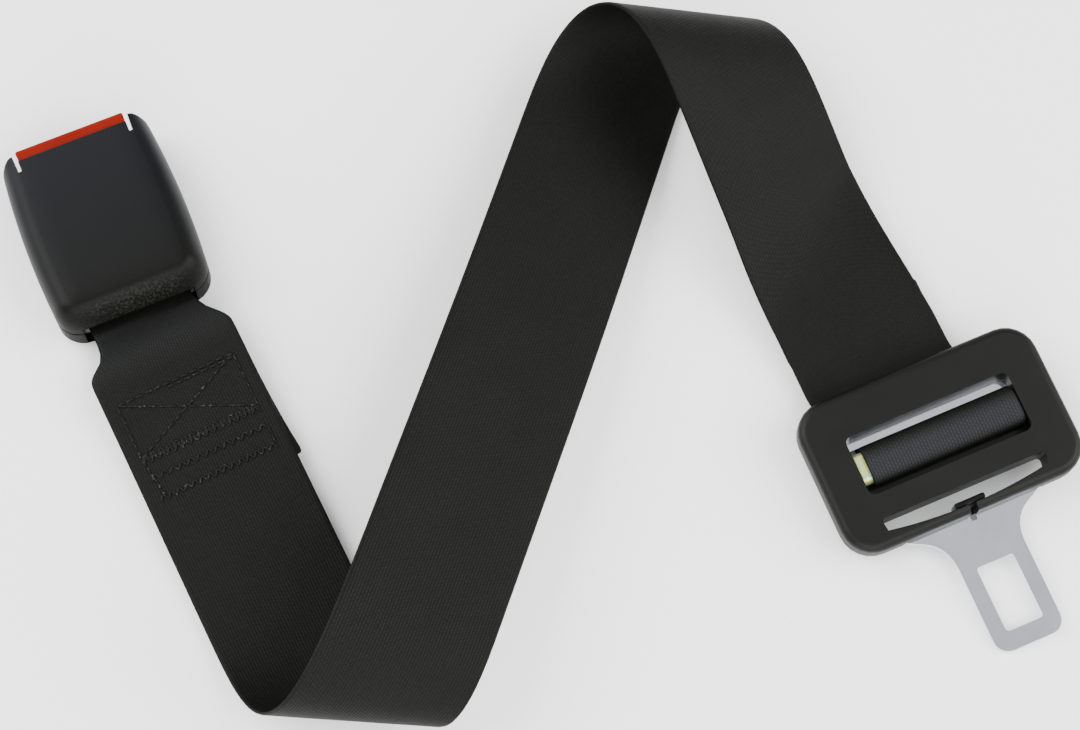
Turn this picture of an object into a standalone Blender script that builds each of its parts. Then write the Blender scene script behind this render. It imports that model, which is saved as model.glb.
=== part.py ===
# Adjustable seat belt extender, lying folded in an N.
# A press-button buckle, one length of webbing, and a tongue that the webbing can slide through.
# Metres, +Z up. The part lies on the plane z = 0.

import math

import bmesh
import bpy
from mathutils import Matrix, Vector

# Fits
GAP = 0.0003
FINE = 0.0001
PIN_CLEARANCE = 0.0001

# Webbing
WEB_WIDTH = 0.048
WEB_THICKNESS = 0.0012
NECK_WIDTH = 0.0335
NECK_FLARE_LENGTH = 0.0125
NECK_LAG = 0.0040
STRAP_LENGTH = 0.5485
UNDER_LAYER_LENGTH = 0.0600
UNDER_LAYER_SHIFT = 0.0020
TAIL_LENGTH = 0.042
TAIL_DROOP = 0.0010
TAIL_DROOP_LENGTH = 0.026
HEM_LENGTH = 0.011

# Where the strap leaves the buckle, in the buckle's own frame
STRAP_START = (0.0010, -0.0337, 0.0082)
STRAP_SKEW = math.radians(3.3)
STRAP_SLOPE = math.radians(-2.5)
STRAP_ROLL = math.radians(1.8)

# Folds of the strap: place along it, length, angle, and the slant of the fold line
LOW_BEND_AT = 0.1528
LOW_BEND_LENGTH = 0.107
LOW_BEND_ANGLE = math.radians(183.6)
LOW_BEND_SLANTS = (math.radians(50.5), math.radians(-4.3))
RISE_AT = 0.2977
RISE_LENGTH = 0.120
RISE_ANGLE = math.radians(4.4)
RISE_SLANT = math.radians(-1.0)
TOP_BEND_AT = 0.4163
TOP_BEND_LENGTH = 0.1113
TOP_BEND_ANGLE = math.radians(-196.3)
TOP_BEND_SLANTS = (math.radians(22.6), math.radians(25.9))
EASE_AT = 0.5120
EASE_LENGTH = 0.072
EASE_ANGLE = math.radians(17.9)
EASE_SLANT = math.radians(-36.0)
FOLD_STEPS = 26
SETTLE_LENGTH = 0.055

# Buckle: place and turn, then the two shells
BUCKLE_PLACE = (-0.13347, 0.04465, 0.0)
BUCKLE_TURN = math.radians(23.1)
BUCKLE_LENGTH = 0.0624
MOUTH_HALF_WIDTH = 0.0244
BELLY_HALF_WIDTH = 0.0258
EXIT_HALF_WIDTH = 0.0250
EXIT_CORNER_RADIUS = 0.0080
MOUTH_CORNER_RADIUS = 0.0045
BUCKLE_HEIGHT = 0.0220
DOME_HEIGHT = 0.0002
DOME_INSET = 0.0120
PARTING_HEIGHT = 0.0095
PARTING_GROOVE = 0.0004
CROWN_START = 0.0125
CROWN_INSET = 0.0065
MOUTH_CROWN = 0.2
COVER_WALL = 0.0018
REAR_EDGE_ROUND = 0.0026
EAR_SETBACK = 0.0014
SLIT_WIDTH = 0.0013
SLIT_DEPTH = 0.0084
LIP_SETBACK = 0.0048
EXIT_SLOT_TOP = 0.0128

# Steel frame inside the buckle
FRAME_PLATE = 0.0025
FRAME_WALL = 0.0020
FRAME_HALF_WIDTH = 0.0150
FRAME_REAR_HALF_WIDTH = 0.0200
FRAME_REAR_CHAMFER = 0.0020
FRAME_WALL_FRONT = 0.0130
FRAME_WALL_BACK = -0.0155
FRAME_WALL_TOP = 0.0180
FRAME_FRONT = 0.0206
ANCHOR_BAR_WIDTH = 0.0040
ANCHOR_SLOT_LENGTH = 0.0055
ANCHOR_BAR_BACK = -0.0285
FRAME_UNDERSIDE = 0.0037

# Channel for the mating tongue
CHANNEL_HALF_WIDTH = 0.0126
CHANNEL_HEIGHT = 0.0047
EJECTOR_TRAVEL = 0.0090
EJECTOR_LENGTH = 0.0080
EJECTOR_HALF_WIDTH = 0.0070
EJECTOR_HEIGHT = 0.0028
GUIDE_HALF_WIDTH = 0.0018

# Latch
LATCH_PIN_Y = -0.0110
LATCH_PIN_RADIUS = 0.0015
LATCH_BARREL_RADIUS = 0.0025
LATCH_HALF_WIDTH = 0.0080
LATCH_THICKNESS = 0.0018
LATCH_NOSE_Y = (0.0115, 0.0145)
LATCH_NOSE_DEPTH = 0.0008

# Slider, lock pin and button
BUTTON_TRAVEL = 0.0050
SLIDER_LENGTH = 0.0130
SLIDER_FRONT = 0.0120
SLIDER_HEIGHT = 0.0034
LOCK_PIN_RADIUS = 0.0015
LOCK_PIN_Y = 0.0060
BUTTON_REACH = 0.00285
BUTTON_WALL = 0.0016
BUTTON_BACK = 0.0200
BUTTON_LEG_END = 0.0140
SPRING_SEAT_Y = 0.0
SPRING_WIRE = 0.00045
SPRING_RADIUS = 0.0012
SPRING_SIDES = 5
SPRING_STEPS = 8

# Tongue: its own frame has +Y towards the strap, and z = 0 on the moulding's underside
TONGUE_PITCH = math.radians(4.7)
TONGUE_ROLL = math.radians(2.1)
TONGUE_SKEW = math.radians(-4.1)
COVER_LENGTH = 0.0794
COVER_WIDTH = 0.0496
COVER_HEIGHT = 0.0100
COVER_CORNER_RADIUS = 0.0100
COVER_EDGE_ROUND = 0.0026
PLATE_UNDERSIDE = 0.0014
PLATE_THICKNESS = 0.0022
SLOT_LENGTH = 0.0545
SLOT_WIDTH = 0.0194
SLOT_CENTRE_Y = 0.0013
SLOT_DRAFT = 0.14
SIDE_LEDGE = 0.0007
LIP_THICKNESS = 0.0006
LIP_COVER = 0.0009
SHELF_Y = -0.0025
PLATE_EDGE_COVER = 0.0042
LENS_HALF_LENGTH = 0.0272
LENS_CORNER = 0.0012
LENS_TOP_Y = -0.0160
LENS_END_Y = -0.0199
LENS_LOW_Y = -0.0222
LENS_WALL = 0.0013
ARM_GAP = 0.0024
COLLAR_HALF_LENGTH = 0.0050
COLLAR_WIDTH = 0.0018
SHOULDER_HALF_WIDTH = 0.0194
SHOULDER_Y = -0.0263
STEM_HALF_WIDTH = 0.0111
STEM_START_Y = -0.0380
TIP_Y = -0.0668
TIP_CORNER_RADIUS = 0.0045
WINDOW_WIDTH = 0.0122
WINDOW_LENGTH = 0.0210
WINDOW_CENTRE_Y = -0.0505
NOTCH_WIDTH = 0.0020
NOTCH_REACH = 0.0016
LOCK_BAR_WIDTH = 0.0103
LOCK_BAR_HEIGHT = 0.0045
LOCK_BAR_END_GAP = 0.0003
LOCK_BAR_CENTRE_Y = 0.0008
ROLL_WIDTH = 0.0495
ROLL_SHIFT = 0.0014
WEB_TURN = 0.0018
ENTRY_SHIFT = -0.0060
ENTRY_LENGTH = 0.0200
ENTRY_LEAD = 0.0082

# Stitching
STITCH_START = 0.0221
STITCH_BOX_LENGTH = 0.0185
STITCH_BOX_WIDTH = 0.0390
STITCH_PITCH = 0.0070
TAIL_STITCH_MARGIN = 0.003
THREAD_WIDTH = 0.0009
THREAD_HEIGHT = 0.0005
ZIGZAG_COUNT = 9
ZIGZAG_SWING = 0.0016

# Heights and places worked out from the sizes above
frame_top = FRAME_UNDERSIDE + FRAME_PLATE
channel_top = frame_top + CHANNEL_HEIGHT
half_length = BUCKLE_LENGTH / 2
ceiling = BUCKLE_HEIGHT - COVER_WALL
above_cover = BUCKLE_HEIGHT + DOME_HEIGHT + 0.001
button_half_width = FRAME_HALF_WIDTH + BUTTON_REACH
slit_outer = button_half_width + SLIT_WIDTH
slit_bottom = half_length - SLIT_DEPTH
mouth_wall = SLIT_DEPTH - EAR_SETBACK + COVER_WALL
nose_bottom = channel_top + GAP
latch_underside = nose_bottom + LATCH_NOSE_DEPTH
latch_top = latch_underside + LATCH_THICKNESS
latch_pin_z = latch_underside + 0.3 * LATCH_THICKNESS
lock_pin_z = latch_top + 2 * GAP + LOCK_PIN_RADIUS
slider_bottom = latch_top + 2 * GAP
slider_top = slider_bottom + SLIDER_HEIGHT
slider_half_width = FRAME_HALF_WIDTH - FRAME_WALL - GAP
slider_back = SLIDER_FRONT - SLIDER_LENGTH
leg_inner = FRAME_HALF_WIDTH + 3 * GAP
spring_x = FRAME_HALF_WIDTH + GAP + SPRING_RADIUS + SPRING_WIRE
ejector_top = frame_top + GAP + EJECTOR_HEIGHT
anchor_slot_back = ANCHOR_BAR_BACK + ANCHOR_BAR_WIDTH
anchor_slot_front = anchor_slot_back + ANCHOR_SLOT_LENGTH
anchor_bend = FRAME_PLATE / 2 + GAP + WEB_THICKNESS / 2
plate_top = PLATE_UNDERSIDE + PLATE_THICKNESS
lock_bar_bottom = plate_top + GAP
lock_bar_z = lock_bar_bottom + LOCK_BAR_HEIGHT / 2
roll_radius = LOCK_BAR_HEIGHT / 2 + GAP + WEB_THICKNESS / 2
roll_reach = LOCK_BAR_WIDTH / 2 + 2 * GAP + WEB_THICKNESS
lip_y = LOCK_BAR_CENTRE_Y - roll_reach
lip_top = plate_top + GAP + LIP_THICKNESS
shelf_top = lock_bar_z - roll_radius - WEB_THICKNESS / 2 - GAP
layer_pitch = WEB_THICKNESS + GAP


def clear_scene():
    for found in list(bpy.data.objects):
        bpy.data.objects.remove(found, do_unlink=True)


def make_material(name, colour, roughness, metallic):
    material = bpy.data.materials.new(name)
    material.use_nodes = True
    shader = material.node_tree.nodes["Principled BSDF"]
    shader.inputs["Base Color"].default_value = (*colour, 1.0)
    shader.inputs["Roughness"].default_value = roughness
    shader.inputs["Metallic"].default_value = metallic
    return material


def make_empty(name, matrix):
    empty = bpy.data.objects.new(name, None)
    bpy.context.scene.collection.objects.link(empty)
    empty.matrix_world = matrix
    return empty


def make_object(name, mesh_data, material=None, parent=None, place=(0, 0, 0)):
    """Turn a bmesh into an object whose origin is at place in its parent's frame."""
    bmesh.ops.translate(mesh_data, verts=mesh_data.verts, vec=-Vector(place))
    mesh = bpy.data.meshes.new(name)
    mesh_data.to_mesh(mesh)
    mesh_data.free()
    made = bpy.data.objects.new(name, mesh)
    bpy.context.scene.collection.objects.link(made)
    made.location = place
    made.parent = parent
    if material:
        mesh.materials.append(material)
    return made


def smooth(target, angle=35):
    target.data.shade_smooth()
    target.data.set_sharp_from_angle(angle=math.radians(angle))


def combine(target, tool, operation):
    """Boolean with a tool that stays in the scene as a hidden guide."""
    tool.hide_render = True
    tool.display_type = "WIRE"
    modifier = target.modifiers.new(tool.name, "BOOLEAN")
    modifier.operation = operation
    modifier.object = tool
    modifier.solver = "EXACT"


def cut(target, tool):
    combine(target, tool, "DIFFERENCE")


def join(target, tool):
    combine(target, tool, "UNION")


def add_box(mesh_data, low, high):
    size = [h - l for l, h in zip(low, high)]
    middle = [(h + l) / 2 for l, h in zip(low, high)]
    matrix = Matrix.Translation(middle) @ Matrix.Diagonal((*size, 1))
    return bmesh.ops.create_cube(mesh_data, size=1, matrix=matrix)["verts"]


def box_tool(name, low, high, parent):
    mesh_data = bmesh.new()
    add_box(mesh_data, low, high)
    return make_object(name, mesh_data, parent=parent)


def cylinder_tool(name, radius, centre, length, parent, sides=20):
    mesh_data = bmesh.new()
    add_cross_cylinder(mesh_data, radius, centre, length, sides)
    return make_object(name, mesh_data, parent=parent)


def add_cross_cylinder(mesh_data, radius, centre, length, sides=20):
    """A cylinder that lies across the buckle, along X."""
    matrix = Matrix.Translation(centre) @ Matrix.Rotation(math.pi / 2, 4, "Y")
    bmesh.ops.create_cone(mesh_data, cap_ends=True, segments=sides, radius1=radius,
                          radius2=radius, depth=length, matrix=matrix)


def prism(outline, bottom, top):
    """A closed outline in X and Y, raised from bottom to top."""
    mesh_data = bmesh.new()
    corners = [mesh_data.verts.new((x, y, bottom)) for x, y in outline]
    face = mesh_data.faces.new(corners)
    face.normal_update()
    if face.normal.z > 0:
        face.normal_flip()
    raised = bmesh.ops.extrude_face_region(mesh_data, geom=[face])["geom"]
    lifted = [item for item in raised if isinstance(item, bmesh.types.BMVert)]
    bmesh.ops.translate(mesh_data, verts=lifted, vec=(0, 0, top - bottom))
    bmesh.ops.recalc_face_normals(mesh_data, faces=mesh_data.faces)
    return mesh_data


def loft(rings):
    """Join rings of as many points each into one closed skin."""
    mesh_data = bmesh.new()
    rows = [[mesh_data.verts.new(point) for point in ring] for ring in rings]
    for lower, upper in zip(rows, rows[1:]):
        for index in range(len(lower)):
            after = (index + 1) % len(lower)
            mesh_data.faces.new((lower[index], lower[after], upper[after], upper[index]))
    mesh_data.faces.new(list(reversed(rows[0])))
    mesh_data.faces.new(rows[-1])
    bmesh.ops.recalc_face_normals(mesh_data, faces=mesh_data.faces)
    return mesh_data


def arc(centre, radius, start, end, steps):
    """Points on an arc, in degrees, both ends included."""
    points = []
    for step in range(steps + 1):
        angle = math.radians(start + (end - start) * step / steps)
        points.append((centre[0] + radius * math.cos(angle), centre[1] + radius * math.sin(angle)))
    return points


def rounded_rectangle(low, high, radius, steps=4):
    points = arc((high[0] - radius, low[1] + radius), radius, -90, 0, steps)
    points += arc((high[0] - radius, high[1] - radius), radius, 0, 90, steps)
    points += arc((low[0] + radius, high[1] - radius), radius, 90, 180, steps)
    points += arc((low[0] + radius, low[1] + radius), radius, 180, 270, steps)
    return points


# Buckle shells

def side_half_width(share):
    """Half width along the side, from the exit end (0) through the belly (0.4) to the mouth (1)."""
    exit_part = EXIT_HALF_WIDTH * (share - 0.4) * (share - 1) / 0.4
    belly_part = BELLY_HALF_WIDTH * share * (share - 1) / (0.4 * (0.4 - 1))
    mouth_part = MOUTH_HALF_WIDTH * share * (share - 0.4) / (1 - 0.4)
    return exit_part + belly_part + mouth_part


def buckle_outline(inset, mouth_inset):
    """The shells' plan outline, drawn in by inset, and by mouth_inset at the mouth end."""
    exit_y = -half_length + inset
    mouth_y = half_length - EAR_SETBACK - mouth_inset
    exit_radius = max(EXIT_CORNER_RADIUS - inset, 0.001)
    mouth_radius = max(MOUTH_CORNER_RADIUS - inset, 0.001)
    exit_x = EXIT_HALF_WIDTH - inset
    mouth_x = MOUTH_HALF_WIDTH - inset
    right = arc((exit_x - exit_radius, exit_y + exit_radius), exit_radius, -90, 0, 7)
    start_y = exit_y + exit_radius
    end_y = mouth_y - mouth_radius
    for step in range(1, 8):
        share = step / 8
        right.append((side_half_width(share) - inset, start_y + (end_y - start_y) * share))
    right += arc((mouth_x - mouth_radius, mouth_y - mouth_radius), mouth_radius, 0, 90, 5)
    left = [(-x, y) for x, y in reversed(right)]
    return right + left


def ring_at(inset, mouth_inset, height):
    return [(x, y, height) for x, y in buckle_outline(inset, mouth_inset)]


def crown_rings(wall, base, start, top, crown_inset, mouth_inset_of, steps=6):
    rings = [ring_at(wall, mouth_inset_of(0), base)]
    for step in range(steps + 1):
        angle = math.radians(90 * step / steps)
        extra = crown_inset * (1 - math.cos(angle))
        height = start + (top - start) * math.sin(angle)
        rings.append(ring_at(wall + extra, mouth_inset_of(extra), height))
    return rings


def dome_rings(steps=3):
    """The shallow rise of the front cover's top, inside its crowned edge."""
    rings = []
    for step in range(1, steps + 1):
        share = step / steps
        inset = CROWN_INSET + (DOME_INSET - CROWN_INSET) * share
        height = BUCKLE_HEIGHT + DOME_HEIGHT * (1 - (1 - share) ** 2)
        rings.append(ring_at(inset, MOUTH_CROWN * inset, height))
    return rings


def add_mouth_cuts(cover, name, bottom, top, parent):
    """Slits beside the button, and the bay that the button slides in."""
    far = half_length + 0.01
    for side, label in ((-1, "left"), (1, "right")):
        xs = sorted((side * button_half_width, side * slit_outer))
        tool = box_tool(f"{name}_slit_{label}", (xs[0], slit_bottom, -0.001),
                        (xs[1], far, above_cover), parent)
        cut(cover, tool)
    bay_half = button_half_width + GAP
    bay_back = slit_bottom - COVER_WALL - 0.001
    cut(cover, box_tool(f"{name}_bay", (-bay_half, bay_back, bottom),
                        (bay_half, slit_bottom + FINE, top), parent))
    cut(cover, box_tool(f"{name}_mouth", (-slit_outer + FINE, slit_bottom, bottom),
                        (slit_outer - FINE, far, top), parent))


def make_front_cover(parent, material):
    base = PARTING_HEIGHT + GAP / 2
    outer = [ring_at(PARTING_GROOVE, PARTING_GROOVE, base)]
    outer += crown_rings(0, base + PARTING_GROOVE, CROWN_START, BUCKLE_HEIGHT, CROWN_INSET,
                         lambda extra: MOUTH_CROWN * extra, steps=9)
    outer += dome_rings()
    cover = make_object("front_cover", loft(outer), material, parent)
    inner = crown_rings(COVER_WALL, base - 0.001, CROWN_START, ceiling, CROWN_INSET - COVER_WALL,
                        lambda extra: mouth_wall)
    cut(cover, make_object("front_cavity_tool", loft(inner), parent=parent))
    add_mouth_cuts(cover, "front", base - 0.001, ceiling, parent)
    cut(cover, box_tool("front_lip_tool", (-slit_outer + FINE, half_length - LIP_SETBACK, base - 0.001),
                        (slit_outer - FINE, half_length + 0.01, above_cover), parent))
    exit_half = NECK_WIDTH / 2 + STRAP_START[0] + 2 * GAP
    cut(cover, box_tool("front_exit_tool", (-exit_half, -half_length - 0.001, base - 0.001),
                        (exit_half, -half_length + 2 * COVER_WALL, EXIT_SLOT_TOP), parent))
    smooth(cover)
    return cover


def make_rear_cover(parent, material):
    top = PARTING_HEIGHT - GAP / 2
    rings = []
    for step in range(4):
        angle = math.radians(90 * step / 3)
        inset = REAR_EDGE_ROUND * (1 - math.sin(angle))
        height = REAR_EDGE_ROUND * (1 - math.cos(angle))
        rings.append(ring_at(inset, 0.3 * inset, height))
    rings.append(ring_at(0, 0, top - PARTING_GROOVE))
    rings.append(ring_at(PARTING_GROOVE, PARTING_GROOVE, top))
    cover = make_object("rear_cover", loft(rings), material, parent)
    inner = [ring_at(COVER_WALL + 0.001, mouth_wall + 0.001, COVER_WALL),
             ring_at(COVER_WALL, mouth_wall, COVER_WALL + 0.001),
             ring_at(COVER_WALL, mouth_wall, top + 0.001)]
    cut(cover, make_object("rear_cavity_tool", loft(inner), parent=parent))
    add_mouth_cuts(cover, "rear", frame_top, top + 0.001, parent)
    exit_half = NECK_WIDTH / 2 + STRAP_START[0] + 2 * GAP
    cut(cover, box_tool("rear_exit_tool", (-exit_half, -half_length - 0.001, COVER_WALL),
                        (exit_half, -half_length + 2 * COVER_WALL, top + 0.001), parent))
    frame_seat = FRAME_UNDERSIDE - GAP
    for side, label in ((-1, "left"), (1, "right")):
        xs = sorted((side * 0.0090, side * 0.0110))
        join(cover, box_tool(f"rear_rib_{label}_tool", (xs[0], anchor_slot_front + 0.003, COVER_WALL - 0.0005),
                             (xs[1], FRAME_FRONT - 0.002, frame_seat), parent))
        xs = sorted((side * leg_inner, side * (BELLY_HALF_WIDTH - COVER_WALL - 2 * GAP)))
        join(cover, box_tool(f"spring_seat_{label}_tool",
                             (xs[0], SPRING_SEAT_Y - GAP - COVER_WALL, COVER_WALL - 0.0005),
                             (xs[1], SPRING_SEAT_Y - GAP, FRAME_WALL_TOP - 0.004), parent))
    smooth(cover)
    return cover


# Steel frame and mechanism

def make_base_frame(parent, material):
    narrow = FRAME_HALF_WIDTH
    wide = FRAME_REAR_HALF_WIDTH
    step_y = anchor_slot_front + 0.003
    back = ANCHOR_BAR_BACK
    corner = FRAME_REAR_CHAMFER
    outline = [(-wide + corner, back), (wide - corner, back), (wide, back + corner), (wide, step_y),
               (narrow, step_y + corner), (narrow, FRAME_FRONT), (-narrow, FRAME_FRONT),
               (-narrow, step_y + corner), (-wide, step_y), (-wide, back + corner)]
    plate = make_object("base_frame", prism(outline, FRAME_UNDERSIDE, frame_top), material, parent)
    low = FRAME_UNDERSIDE - 0.001
    high = frame_top + 0.001
    slot_half = NECK_WIDTH / 2 + 2 * GAP
    cut(plate, box_tool("anchor_slot_tool", (-slot_half, anchor_slot_back, low),
                        (slot_half, anchor_slot_front, high), parent))
    window_back = LATCH_NOSE_Y[0] - 0.003
    cut(plate, box_tool("nose_window_tool", (-LATCH_HALF_WIDTH - 0.0006, window_back, low),
                        (LATCH_HALF_WIDTH + 0.0006, LATCH_NOSE_Y[1] + 0.003, high), parent))
    guide_half = GUIDE_HALF_WIDTH + GAP
    cut(plate, box_tool("guide_slot_tool", (-guide_half, -EJECTOR_TRAVEL + 0.001 - GAP, low),
                        (guide_half, window_back + FINE, high), parent))
    for side, label in ((-1, "left"), (1, "right")):
        xs = sorted((side * (FRAME_HALF_WIDTH - FRAME_WALL), side * FRAME_HALF_WIDTH))
        join(plate, box_tool(f"frame_wall_{label}_tool", (xs[0], FRAME_WALL_BACK, FRAME_UNDERSIDE + 0.0005),
                             (xs[1], FRAME_WALL_FRONT, FRAME_WALL_TOP), parent))
    bridge_bottom = slider_bottom
    join(plate, box_tool("frame_bridge_tool", (-FRAME_HALF_WIDTH + FINE, FRAME_WALL_BACK + FINE, bridge_bottom),
                         (FRAME_HALF_WIDTH - FINE, FRAME_WALL_BACK + 0.0015, FRAME_WALL_TOP - FINE), parent))
    join(plate, box_tool("ejector_seat_tool", (-0.004, FRAME_WALL_BACK, frame_top - 0.0005),
                         (0.004, FRAME_WALL_BACK + 0.0013, ejector_top), parent))
    pin_slot_low = LOCK_PIN_Y - BUTTON_TRAVEL - LOCK_PIN_RADIUS - GAP
    pin_slot_high = LOCK_PIN_Y + LOCK_PIN_RADIUS + GAP
    across = FRAME_HALF_WIDTH + 0.002
    cut(plate, box_tool("lock_pin_slot_tool", (-across, pin_slot_low, lock_pin_z - LOCK_PIN_RADIUS - GAP),
                        (across, pin_slot_high, lock_pin_z + LOCK_PIN_RADIUS + GAP), parent))
    cut(plate, cylinder_tool("latch_pin_hole_tool", LATCH_PIN_RADIUS + GAP, (0, LATCH_PIN_Y, latch_pin_z),
                             2 * across, parent))
    return plate


def make_latch(parent, material):
    mesh_data = bmesh.new()
    add_box(mesh_data, (-LATCH_HALF_WIDTH, LATCH_PIN_Y, latch_underside),
            (LATCH_HALF_WIDTH, LATCH_NOSE_Y[1], latch_top))
    place = (0, LATCH_PIN_Y, latch_pin_z)
    latch = make_object("latch", mesh_data, material, parent, place)
    nose = bmesh.new()
    add_box(nose, (-LATCH_HALF_WIDTH + 0.0018, LATCH_NOSE_Y[0], nose_bottom),
            (LATCH_HALF_WIDTH - 0.0018, LATCH_NOSE_Y[1] - FINE, latch_top - FINE))
    join(latch, make_object("latch_nose_tool", nose, parent=parent, place=place))
    join(latch, cylinder_tool("latch_barrel_tool", LATCH_BARREL_RADIUS, place, 2 * LATCH_HALF_WIDTH - FINE, parent))
    cut(latch, cylinder_tool("latch_bore_tool", LATCH_PIN_RADIUS + PIN_CLEARANCE, place, 4 * LATCH_HALF_WIDTH, parent))
    return latch


def make_cross_pin(name, radius, centre, length, material, parent):
    mesh_data = bmesh.new()
    add_cross_cylinder(mesh_data, radius, centre, length)
    pin = make_object(name, mesh_data, material, parent, centre)
    smooth(pin)
    return pin


def make_lock_slider(parent, material):
    mesh_data = bmesh.new()
    add_box(mesh_data, (-slider_half_width, slider_back, slider_bottom),
            (slider_half_width, SLIDER_FRONT, slider_top))
    bmesh.ops.bevel(mesh_data, geom=mesh_data.edges[:], offset=0.0004, segments=1,
                    affect="EDGES", profile=0.5, material=-1)
    place = (0, LOCK_PIN_Y, lock_pin_z)
    slider = make_object("lock_slider", mesh_data, material, parent, place)
    cut(slider, cylinder_tool("slider_bore_tool", LOCK_PIN_RADIUS + GAP, place, 4 * slider_half_width, parent))
    return slider


def make_ejector(parent, material):
    mesh_data = bmesh.new()
    low = frame_top + GAP
    add_box(mesh_data, (-EJECTOR_HALF_WIDTH, 0, low), (EJECTOR_HALF_WIDTH, EJECTOR_LENGTH, ejector_top))
    bmesh.ops.bevel(mesh_data, geom=mesh_data.edges[:], offset=0.0005, segments=1,
                    affect="EDGES", profile=0.5, material=-1)
    ejector = make_object("ejector", mesh_data, material, parent)
    join(ejector, box_tool("ejector_guide_tool", (-GUIDE_HALF_WIDTH, 0.001, FRAME_UNDERSIDE + GAP),
                           (GUIDE_HALF_WIDTH, EJECTOR_LENGTH - 0.001, low + 0.001), parent))
    return ejector


def make_button(parent, material):
    mesh_data = bmesh.new()
    low = channel_top + GAP
    high = ceiling - GAP
    front = half_length
    add_box(mesh_data, (-button_half_width, front - BUTTON_WALL, low), (button_half_width, front, high))
    rim = [edge for edge in mesh_data.edges if all(vert.co.y > front - FINE for vert in edge.verts)]
    bmesh.ops.bevel(mesh_data, geom=rim, offset=0.0008, segments=3, affect="EDGES", profile=0.5, material=-1)
    button = make_object("press_button", mesh_data, material, parent)
    join(button, box_tool("button_top_tool", (-button_half_width + FINE, BUTTON_BACK, high - BUTTON_WALL),
                          (button_half_width - FINE, front - BUTTON_WALL / 2, high - FINE), parent))
    for side, label in ((-1, "left"), (1, "right")):
        xs = sorted((side * leg_inner, side * (button_half_width - 2 * FINE)))
        join(button, box_tool(f"button_leg_{label}_tool", (xs[0], BUTTON_LEG_END, low + FINE),
                              (xs[1], front - BUTTON_WALL / 2, high - BUTTON_WALL + FINE), parent))
    join(button, box_tool("button_pusher_tool", (-0.006, SLIDER_FRONT + GAP, slider_bottom + 0.0006),
                          (0.006, front - BUTTON_WALL / 2, high - 2 * FINE), parent))
    cut(button, box_tool("button_relief_tool", (-0.007, SLIDER_FRONT, slider_top + 0.0002),
                         (0.007, BUTTON_BACK, ceiling), parent))
    return button


def make_spring(name, start, end, turns, parent, material):
    """A compression spring along Y, wound as one closed wire."""
    axis_x, start_y, axis_z = start
    length = end - start_y
    travel = length - 2 * SPRING_WIRE
    steps = turns * SPRING_STEPS
    rings = []
    for step in range(steps + 1):
        share = step / steps
        angle = 2 * math.pi * turns * share
        middle = Vector((axis_x + SPRING_RADIUS * math.cos(angle),
                         start_y + SPRING_WIRE + travel * share,
                         axis_z + SPRING_RADIUS * math.sin(angle)))
        outward = Vector((math.cos(angle), 0, math.sin(angle)))
        ring = []
        for side in range(SPRING_SIDES):
            turn = 2 * math.pi * side / SPRING_SIDES
            offset = outward * math.cos(turn) + Vector((0, 1, 0)) * math.sin(turn)
            ring.append(middle + offset * SPRING_WIRE)
        rings.append(ring)
    spring = make_object(name, loft(rings), material, parent)
    smooth(spring, 60)
    return spring


# Webbing

def slant_at(place):
    """Slant of the fold line that crosses the strap at a place along it."""
    table = [
        (LOW_BEND_AT - LOW_BEND_LENGTH / 2, LOW_BEND_SLANTS[0]),
        (LOW_BEND_AT + LOW_BEND_LENGTH / 2, LOW_BEND_SLANTS[1]),
        (RISE_AT, RISE_SLANT),
        (TOP_BEND_AT - TOP_BEND_LENGTH / 2, TOP_BEND_SLANTS[0]),
        (TOP_BEND_AT + TOP_BEND_LENGTH / 2, TOP_BEND_SLANTS[1]),
        (EASE_AT, EASE_SLANT),
        (STRAP_LENGTH, 0.0),
    ]
    for (start, first), (end, second) in zip(table, table[1:]):
        if place < end:
            share = max((place - start) / (end - start), 0)
            return first + (second - first) * share
    return 0.0


def fold_strip(start, ease_angle):
    """Fold a flat band along slanted lines. Returns each line's place, slope and frames."""
    bends = [
        (LOW_BEND_AT, LOW_BEND_LENGTH, LOW_BEND_ANGLE),
        (RISE_AT, RISE_LENGTH, RISE_ANGLE),
        (TOP_BEND_AT, TOP_BEND_LENGTH, TOP_BEND_ANGLE),
        (EASE_AT, EASE_LENGTH, ease_angle),
    ]
    lines = []
    for centre, spread, angle in bends:
        for step in range(FOLD_STEPS):
            share = (step + 0.5) / FOLD_STEPS
            turn = angle * (1 - math.cos(2 * math.pi * share)) / FOLD_STEPS
            lines.append((centre + spread * (share - 0.5), turn))
    lines.sort()
    frame = start.copy()
    folded = [(0.0, 0.0, frame, frame)]
    for place, turn in lines:
        slant = slant_at(place)
        axis = Vector((math.sin(slant), math.cos(slant), 0))
        before = frame
        pivot = Matrix.Translation((place, 0, 0))
        frame = frame @ pivot @ Matrix.Rotation(-turn, 4, axis) @ pivot.inverted()
        folded.append((place, math.tan(slant), before, frame))
    folded.append((STRAP_LENGTH, 0.0, frame, frame))
    return folded


def section(right, left, normal):
    """Four corners of the webbing's cross section."""
    half = normal.normalized() * (WEB_THICKNESS / 2)
    return [right - half, left - half, left + half, right + half]


def strap_start_frame(buckle_frame):
    slope = Matrix.Rotation(-math.pi / 2 + STRAP_SKEW, 4, "Z") @ Matrix.Rotation(-STRAP_SLOPE, 4, "Y")
    return buckle_frame @ Matrix.Translation(STRAP_START) @ slope @ Matrix.Rotation(STRAP_ROLL, 4, "X")


def tongue_turn(heading):
    turn = Matrix.Rotation(heading, 4, "Z") @ Matrix.Rotation(TONGUE_PITCH, 4, "X")
    return turn @ Matrix.Rotation(-TONGUE_ROLL, 4, "Y")


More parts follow.
